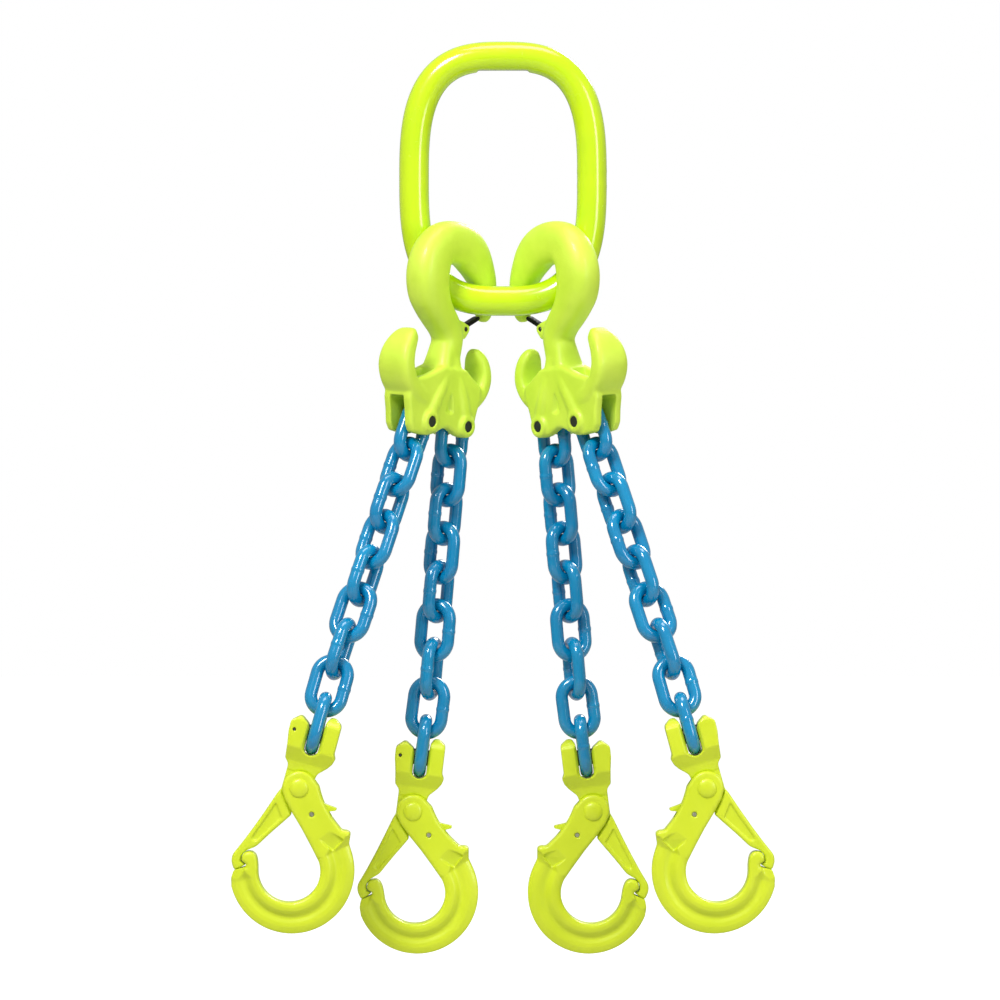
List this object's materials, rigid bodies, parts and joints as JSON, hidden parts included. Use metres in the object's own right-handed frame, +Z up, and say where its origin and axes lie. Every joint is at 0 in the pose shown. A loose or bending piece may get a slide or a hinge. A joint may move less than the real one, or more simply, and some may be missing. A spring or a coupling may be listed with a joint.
{
  "type": "chain sling",
  "caption": "Lifting sling: a master link carries forked couplers, each with welded chain legs that end in self-locking hooks.",
  "frame": {"origin": "the middle of the flat seat inside the crown of the master link, where a crane hook carries the sling", "axes": "+Z up through the crown; X across the sling, from the left legs to the right legs; -Y is the side with the coupler fronts, and the sling hangs down from the origin"},
  "size_m": [0.4102, 0.1388, 0.7033],
  "materials": {
    "master_paint": "glossy yellow-green powder coat",
    "coupler_paint": "satin yellow-green coat over a forged skin",
    "hook_paint": "satin yellow coat over a forged skin",
    "chain_paint": "glossy blue coat",
    "black_steel": "black oxide"
  },
  "bodies": {
    "master_link": {"master_link": "master_paint"},
    "left_coupler": {"left_coupler": "coupler_paint", "left_keeper_pin": "black_steel"},
    "left_keeper": {"left_keeper": "black_steel"},
    "left_outer_link_1": {"left_outer_link_1": "chain_paint"},
    "left_outer_link_2": {"left_outer_link_2": "chain_paint"},
    "left_outer_link_3": {"left_outer_link_3": "chain_paint"},
    "left_outer_link_4": {"left_outer_link_4": "chain_paint"},
    "left_outer_link_5": {"left_outer_link_5": "chain_paint"},
    "left_outer_link_6": {"left_outer_link_6": "chain_paint"},
    "left_outer_link_7": {"left_outer_link_7": "chain_paint"},
    "left_outer_link_8": {"left_outer_link_8": "chain_paint"},
    "left_outer_link_9": {"left_outer_link_9": "chain_paint"},
    "left_outer_hook_head": {"left_outer_hook_head": "hook_paint", "left_outer_load_pin": "black_steel"},
    "left_outer_hook_body": {"left_outer_hook_body": "hook_paint"},
    "left_outer_trigger": {"left_outer_trigger": "hook_paint"},
    "left_inner_link_1": {"left_inner_link_1": "chain_paint"},
    "left_inner_link_2": {"left_inner_link_2": "chain_paint"},
    "left_inner_link_3": {"left_inner_link_3": "chain_paint"},
    "left_inner_link_4": {"left_inner_link_4": "chain_paint"},
    "left_inner_link_5": {"left_inner_link_5": "chain_paint"},
    "left_inner_link_6": {"left_inner_link_6": "chain_paint"},
    "left_inner_link_7": {"left_inner_link_7": "chain_paint"},
    "left_inner_link_8": {"left_inner_link_8": "chain_paint"},
    "left_inner_link_9": {"left_inner_link_9": "chain_paint"},
    "left_inner_hook_head": {"left_inner_hook_head": "hook_paint", "left_inner_load_pin": "black_steel"},
    "left_inner_hook_body": {"left_inner_hook_body": "hook_paint"},
    "left_inner_trigger": {"left_inner_trigger": "hook_paint"},
    "right_coupler": {"right_coupler": "coupler_paint", "right_keeper_pin": "black_steel"},
    "right_keeper": {"right_keeper": "black_steel"},
    "right_outer_link_1": {"right_outer_link_1": "chain_paint"},
    "right_outer_link_2": {"right_outer_link_2": "chain_paint"},
    "right_outer_link_3": {"right_outer_link_3": "chain_paint"},
    "right_outer_link_4": {"right_outer_link_4": "chain_paint"},
    "right_outer_link_5": {"right_outer_link_5": "chain_paint"},
    "right_outer_link_6": {"right_outer_link_6": "chain_paint"},
    "right_outer_link_7": {"right_outer_link_7": "chain_paint"},
    "right_outer_link_8": {"right_outer_link_8": "chain_paint"},
    "right_outer_link_9": {"right_outer_link_9": "chain_paint"},
    "right_outer_hook_head": {"right_outer_hook_head": "hook_paint", "right_outer_load_pin": "black_steel"},
    "right_outer_hook_body": {"right_outer_hook_body": "hook_paint"},
    "right_outer_trigger": {"right_outer_trigger": "hook_paint"},
    "right_inner_link_1": {"right_inner_link_1": "chain_paint"},
    "right_inner_link_2": {"right_inner_link_2": "chain_paint"},
    "right_inner_link_3": {"right_inner_link_3": "chain_paint"},
    "right_inner_link_4": {"right_inner_link_4": "chain_paint"},
    "right_inner_link_5": {"right_inner_link_5": "chain_paint"},
    "right_inner_link_6": {"right_inner_link_6": "chain_paint"},
    "right_inner_link_7": {"right_inner_link_7": "chain_paint"},
    "right_inner_link_8": {"right_inner_link_8": "chain_paint"},
    "right_inner_link_9": {"right_inner_link_9": "chain_paint"},
    "right_inner_hook_head": {"right_inner_hook_head": "hook_paint", "right_inner_load_pin": "black_steel"},
    "right_inner_hook_body": {"right_inner_hook_body": "hook_paint"},
    "right_inner_trigger": {"right_inner_trigger": "hook_paint"}
  },
  "joints": [
    {"name": "left_coupler_swing", "type": "hinge", "parent": "master_link", "child": "left_coupler", "pos_m": [-0.0335, 0, -0.17398], "axis": [0.9379, 0, -0.347], "range_deg": [-4, 20], "stiffness_Nm_per_rad": 0.5, "springref_deg": -149.39},
    {"name": "left_keeper_swing", "type": "hinge", "parent": "left_coupler", "child": "left_keeper", "pos_m": [-0.03337, 0.00305, -0.19939], "axis": [0.764, -0.6411, -0.0732], "range_deg": [0, 24], "stiffness_Nm_per_rad": 0.005, "springref_deg": -17.19},
    {"name": "left_outer_link_1_bend", "type": "hinge", "parent": "left_coupler", "child": "left_outer_link_1", "pos_m": [-0.06596, -0.02767, -0.27039], "axis": [-0.764, 0.6411, 0.0732], "range_deg": [-8, 25], "stiffness_Nm_per_rad": 0.5, "springref_deg": 156.82},
    {"name": "left_outer_link_2_bend", "type": "hinge", "parent": "left_outer_link_1", "child": "left_outer_link_2", "pos_m": [-0.07462, -0.03472, -0.29689], "axis": [0.5794, 0.7204, -0.3812], "range_deg": [-25, 25], "stiffness_Nm_per_rad": 0.5, "springref_deg": 33.79},
    {"name": "left_outer_link_3_bend", "type": "hinge", "parent": "left_outer_link_2", "child": "left_outer_link_3", "pos_m": [-0.08366, -0.04208, -0.32453], "axis": [0.7574, -0.6487, -0.0749], "range_deg": [-25, 10], "stiffness_Nm_per_rad": 0.5, "springref_deg": -118.67},
    {"name": "left_outer_link_4_bend", "type": "hinge", "parent": "left_outer_link_3", "child": "left_outer_link_4", "pos_m": [-0.09269, -0.04944, -0.35218], "axis": [-0.5794, -0.7204, 0.3812], "range_deg": [-25, 25], "stiffness_Nm_per_rad": 0.5, "springref_deg": -26.33},
    {"name": "left_outer_link_5_bend", "type": "hinge", "parent": "left_outer_link_4", "child": "left_outer_link_5", "pos_m": [-0.10173, -0.0568, -0.37982], "axis": [-0.7574, 0.6487, 0.0749], "range_deg": [-14, 30], "stiffness_Nm_per_rad": 0.5, "springref_deg": 81.97},
    {"name": "left_outer_link_6_bend", "type": "hinge", "parent": "left_outer_link_5", "child": "left_outer_link_6", "pos_m": [-0.11076, -0.06416, -0.40746], "axis": [0.4683, 0.8037, -0.367], "range_deg": [-30, 30], "stiffness_Nm_per_rad": 0.5, "springref_deg": 28.18},
    {"name": "left_outer_link_7_bend", "type": "hinge", "parent": "left_outer_link_6", "child": "left_outer_link_7", "pos_m": [-0.1198, -0.07152, -0.43511], "axis": [0.8937, -0.4097, -0.183], "range_deg": [-35, 15], "stiffness_Nm_per_rad": 0.5, "springref_deg": -41.14},
    {"name": "left_outer_link_8_bend", "type": "hinge", "parent": "left_outer_link_7", "child": "left_outer_link_8", "pos_m": [-0.12883, -0.07888, -0.46275], "axis": [-0.205, -0.9271, 0.3138], "range_deg": [-35, 35], "stiffness_Nm_per_rad": 0.5, "springref_deg": -25.24},
    {"name": "left_outer_link_9_bend", "type": "hinge", "parent": "left_outer_link_8", "child": "left_outer_link_9", "pos_m": [-0.13665, -0.08624, -0.49077], "axis": [-0.963, 0.1349, 0.2334], "range_deg": [-20, 45], "stiffness_Nm_per_rad": 0.5, "springref_deg": 8.47},
    {"name": "left_outer_hook_swing", "type": "hinge", "parent": "left_outer_link_9", "child": "left_outer_hook_head", "pos_m": [-0.14231, -0.09084, -0.50806], "axis": [0.9632, 0, -0.2689], "range_deg": [-40, 40]},
    {"name": "left_outer_hook_open", "type": "hinge", "parent": "left_outer_hook_head", "child": "left_outer_hook_body", "pos_m": [-0.15361, -0.09084, -0.54851], "axis": [0, -1, 0], "range_deg": [0, 36]},
    {"name": "left_outer_trigger_press", "type": "hinge", "parent": "left_outer_hook_body", "child": "left_outer_trigger", "pos_m": [-0.14408, -0.09084, -0.5683], "axis": [0, 1, 0], "range_deg": [0, 12], "stiffness_Nm_per_rad": 0.02, "springref_deg": -17.19},
    {"name": "left_inner_link_1_bend", "type": "hinge", "parent": "left_coupler", "child": "left_inner_link_1", "pos_m": [-0.03861, 0.00532, -0.27391], "axis": [-0.764, 0.6411, 0.0732], "range_deg": [-25, 8], "stiffness_Nm_per_rad": 0.5, "springref_deg": 20.83},
    {"name": "left_inner_link_2_bend", "type": "hinge", "parent": "left_inner_link_1", "child": "left_inner_link_2", "pos_m": [-0.04112, 0.00558, -0.30255], "axis": [0.6671, 0.7431, -0.0519], "range_deg": [-25, 25], "stiffness_Nm_per_rad": 0.5, "springref_deg": 25.93},
    {"name": "left_inner_link_3_bend", "type": "hinge", "parent": "left_inner_link_2", "child": "left_inner_link_3", "pos_m": [-0.04373, 0.00584, -0.33243], "axis": [0.7398, -0.6691, -0.0706], "range_deg": [-10, 25], "stiffness_Nm_per_rad": 0.5, "springref_deg": -16.7},
    {"name": "left_inner_link_4_bend", "type": "hinge", "parent": "left_inner_link_3", "child": "left_inner_link_4", "pos_m": [-0.04635, 0.0061, -0.36232], "axis": [-0.6671, -0.7431, 0.0519], "range_deg": [-25, 25], "stiffness_Nm_per_rad": 0.5, "springref_deg": -18.88},
    {"name": "left_inner_link_5_bend", "type": "hinge", "parent": "left_inner_link_4", "child": "left_inner_link_5", "pos_m": [-0.04896, 0.00636, -0.3922], "axis": [-0.7398, 0.6691, 0.0706], "range_deg": [-30, 14], "stiffness_Nm_per_rad": 0.5, "springref_deg": 11.71},
    {"name": "left_inner_link_6_bend", "type": "hinge", "parent": "left_inner_link_5", "child": "left_inner_link_6", "pos_m": [-0.05158, 0.00662, -0.42209], "axis": [0.5577, 0.829, -0.0415], "range_deg": [-30, 30], "stiffness_Nm_per_rad": 0.5, "springref_deg": 13.52},
    {"name": "left_inner_link_7_bend", "type": "hinge", "parent": "left_inner_link_6", "child": "left_inner_link_7", "pos_m": [-0.05419, 0.00688, -0.45197], "axis": [0.9025, -0.4226, -0.0827], "range_deg": [-15, 35], "stiffness_Nm_per_rad": 0.5, "springref_deg": -4.07},
    {"name": "left_inner_link_8_bend", "type": "hinge", "parent": "left_inner_link_7", "child": "left_inner_link_8", "pos_m": [-0.05681, 0.00715, -0.48186], "axis": [-0.292, -0.9563, 0.0172], "range_deg": [-35, 13], "stiffness_Nm_per_rad": 0.5, "springref_deg": -7.76},
    {"name": "left_inner_link_9_bend", "type": "hinge", "parent": "left_inner_link_8", "child": "left_inner_link_9", "pos_m": [-0.06072, 0.00741, -0.5116], "axis": [-0.9816, 0.1392, 0.1305], "range_deg": [-45, 20], "stiffness_Nm_per_rad": 0.5, "springref_deg": 0.17},
    {"name": "left_inner_hook_swing", "type": "hinge", "parent": "left_inner_link_9", "child": "left_inner_hook_head", "pos_m": [-0.06396, 0.00757, -0.53008], "axis": [0.9914, 0, -0.1305], "range_deg": [-40, 40]},
    {"name": "left_inner_hook_open", "type": "hinge", "parent": "left_inner_hook_head", "child": "left_inner_hook_body", "pos_m": [-0.06944, 0.00757, -0.57172], "axis": [0, -1, 0], "range_deg": [0, 36]},
    {"name": "left_inner_trigger_press", "type": "hinge", "parent": "left_inner_hook_body", "child": "left_inner_trigger", "pos_m": [-0.05722, 0.00757, -0.58998], "axis": [0, 1, 0], "range_deg": [0, 12], "stiffness_Nm_per_rad": 0.02, "springref_deg": -17.19},
    {"name": "right_coupler_swing", "type": "hinge", "parent": "master_link", "child": "right_coupler", "pos_m": [0.0335, 0, -0.17398], "axis": [-0.9379, 0, -0.347], "range_deg": [-20, 4], "stiffness_Nm_per_rad": 0.5, "springref_deg": 149.39},
    {"name": "right_keeper_swing", "type": "hinge", "parent": "right_coupler", "child": "right_keeper", "pos_m": [0.03337, 0.00305, -0.19939], "axis": [0.764, 0.6411, 0.0732], "range_deg": [0, 24], "stiffness_Nm_per_rad": 0.005, "springref_deg": -17.19},
    {"name": "right_outer_link_1_bend", "type": "hinge", "parent": "right_coupler", "child": "right_outer_link_1", "pos_m": [0.06596, -0.02767, -0.27039], "axis": [-0.764, -0.6411, -0.0732], "range_deg": [-8, 25], "stiffness_Nm_per_rad": 0.5, "springref_deg": 156.82},
    {"name": "right_outer_link_2_bend", "type": "hinge", "parent": "right_outer_link_1", "child": "right_outer_link_2", "pos_m": [0.07462, -0.03472, -0.29689], "axis": [0.5794, -0.7204, 0.3812], "range_deg": [-25, 25], "stiffness_Nm_per_rad": 0.5, "springref_deg": 33.79},
    {"name": "right_outer_link_3_bend", "type": "hinge", "parent": "right_outer_link_2", "child": "right_outer_link_3", "pos_m": [0.08366, -0.04208, -0.32453], "axis": [0.7574, 0.6487, 0.0749], "range_deg": [-25, 10], "stiffness_Nm_per_rad": 0.5, "springref_deg": -118.67},
    {"name": "right_outer_link_4_bend", "type": "hinge", "parent": "right_outer_link_3", "child": "right_outer_link_4", "pos_m": [0.09269, -0.04944, -0.35218], "axis": [-0.5794, 0.7204, -0.3812], "range_deg": [-25, 25], "stiffness_Nm_per_rad": 0.5, "springref_deg": -26.33},
    {"name": "right_outer_link_5_bend", "type": "hinge", "parent": "right_outer_link_4", "child": "right_outer_link_5", "pos_m": [0.10173, -0.0568, -0.37982], "axis": [-0.7574, -0.6487, -0.0749], "range_deg": [-14, 30], "stiffness_Nm_per_rad": 0.5, "springref_deg": 81.97},
    {"name": "right_outer_link_6_bend", "type": "hinge", "parent": "right_outer_link_5", "child": "right_outer_link_6", "pos_m": [0.11076, -0.06416, -0.40746], "axis": [0.4683, -0.8037, 0.367], "range_deg": [-30, 30], "stiffness_Nm_per_rad": 0.5, "springref_deg": 28.18},
    {"name": "right_outer_link_7_bend", "type": "hinge", "parent": "right_outer_link_6", "child": "right_outer_link_7", "pos_m": [0.1198, -0.07152, -0.43511], "axis": [0.8937, 0.4097, 0.183], "range_deg": [-35, 15], "stiffness_Nm_per_rad": 0.5, "springref_deg": -41.14},
    {"name": "right_outer_link_8_bend", "type": "hinge", "parent": "right_outer_link_7", "child": "right_outer_link_8", "pos_m": [0.12883, -0.07888, -0.46275], "axis": [-0.205, 0.9271, -0.3138], "range_deg": [-35, 35], "stiffness_Nm_per_rad": 0.5, "springref_deg": -25.24},
    {"name": "right_outer_link_9_bend", "type": "hinge", "parent": "right_outer_link_8", "child": "right_outer_link_9", "pos_m": [0.13665, -0.08624, -0.49077], "axis": [-0.963, -0.1349, -0.2334], "range_deg": [-20, 45], "stiffness_Nm_per_rad": 0.5, "springref_deg": 8.47},
    {"name": "right_outer_hook_swing", "type": "hinge", "parent": "right_outer_link_9", "child": "right_outer_hook_head", "pos_m": [0.14231, -0.09084, -0.50806], "axis": [0.9632, 0, 0.2689], "range_deg": [-40, 40]},
    {"name": "right_outer_hook_open", "type": "hinge", "parent": "right_outer_hook_head", "child": "right_outer_hook_body", "pos_m": [0.15361, -0.09084, -0.54851], "axis": [0, 1, 0], "range_deg": [0, 36]},
    {"name": "right_outer_trigger_press", "type": "hinge", "parent": "right_outer_hook_body", "child": "right_outer_trigger", "pos_m": [0.14408, -0.09084, -0.5683], "axis": [0, -1, 0], "range_deg": [0, 12], "stiffness_Nm_per_rad": 0.02, "springref_deg": -17.19},
    {"name": "right_inner_link_1_bend", "type": "hinge", "parent": "right_coupler", "child": "right_inner_link_1", "pos_m": [0.03861, 0.00532, -0.27391], "axis": [-0.764, -0.6411, -0.0732], "range_deg": [-25, 8], "stiffness_Nm_per_rad": 0.5, "springref_deg": 20.83},
    {"name": "right_inner_link_2_bend", "type": "hinge", "parent": "right_inner_link_1", "child": "right_inner_link_2", "pos_m": [0.04112, 0.00558, -0.30255], "axis": [0.6672, -0.7431, 0.0519], "range_deg": [-25, 25], "stiffness_Nm_per_rad": 0.5, "springref_deg": 25.93},
    {"name": "right_inner_link_3_bend", "type": "hinge", "parent": "right_inner_link_2", "child": "right_inner_link_3", "pos_m": [0.04373, 0.00584, -0.33243], "axis": [0.7398, 0.6691, 0.0706], "range_deg": [-10, 25], "stiffness_Nm_per_rad": 0.5, "springref_deg": -16.7},
    {"name": "right_inner_link_4_bend", "type": "hinge", "parent": "right_inner_link_3", "child": "right_inner_link_4", "pos_m": [0.04635, 0.0061, -0.36232], "axis": [-0.6672, 0.7431, -0.0519], "range_deg": [-25, 25], "stiffness_Nm_per_rad": 0.5, "springref_deg": -18.88},
    {"name": "right_inner_link_5_bend", "type": "hinge", "parent": "right_inner_link_4", "child": "right_inner_link_5", "pos_m": [0.04896, 0.00636, -0.3922], "axis": [-0.7398, -0.6691, -0.0706], "range_deg": [-30, 14], "stiffness_Nm_per_rad": 0.5, "springref_deg": 11.71},
    {"name": "right_inner_link_6_bend", "type": "hinge", "parent": "right_inner_link_5", "child": "right_inner_link_6", "pos_m": [0.05158, 0.00662, -0.42209], "axis": [0.5577, -0.829, 0.0415], "range_deg": [-30, 30], "stiffness_Nm_per_rad": 0.5, "springref_deg": 13.52},
    {"name": "right_inner_link_7_bend", "type": "hinge", "parent": "right_inner_link_6", "child": "right_inner_link_7", "pos_m": [0.05419, 0.00688, -0.45197], "axis": [0.9025, 0.4226, 0.0827], "range_deg": [-15, 35], "stiffness_Nm_per_rad": 0.5, "springref_deg": -4.07},
    {"name": "right_inner_link_8_bend", "type": "hinge", "parent": "right_inner_link_7", "child": "right_inner_link_8", "pos_m": [0.05681, 0.00715, -0.48186], "axis": [-0.292, 0.9563, -0.0172], "range_deg": [-35, 13], "stiffness_Nm_per_rad": 0.5, "springref_deg": -7.76},
    {"name": "right_inner_link_9_bend", "type": "hinge", "parent": "right_inner_link_8", "child": "right_inner_link_9", "pos_m": [0.06072, 0.00741, -0.5116], "axis": [-0.9816, -0.1392, -0.1305], "range_deg": [-45, 20], "stiffness_Nm_per_rad": 0.5, "springref_deg": 0.17},
    {"name": "right_inner_hook_swing", "type": "hinge", "parent": "right_inner_link_9", "child": "right_inner_hook_head", "pos_m": [0.06396, 0.00757, -0.53008], "axis": [0.9914, 0, 0.1305], "range_deg": [-40, 40]},
    {"name": "right_inner_hook_open", "type": "hinge", "parent": "right_inner_hook_head", "child": "right_inner_hook_body", "pos_m": [0.06944, 0.00757, -0.57172], "axis": [0, 1, 0], "range_deg": [0, 36]},
    {"name": "right_inner_trigger_press", "type": "hinge", "parent": "right_inner_hook_body", "child": "right_inner_trigger", "pos_m": [0.05722, 0.00757, -0.58998], "axis": [0, -1, 0], "range_deg": [0, 12], "stiffness_Nm_per_rad": 0.02, "springref_deg": -17.19}
  ]
}
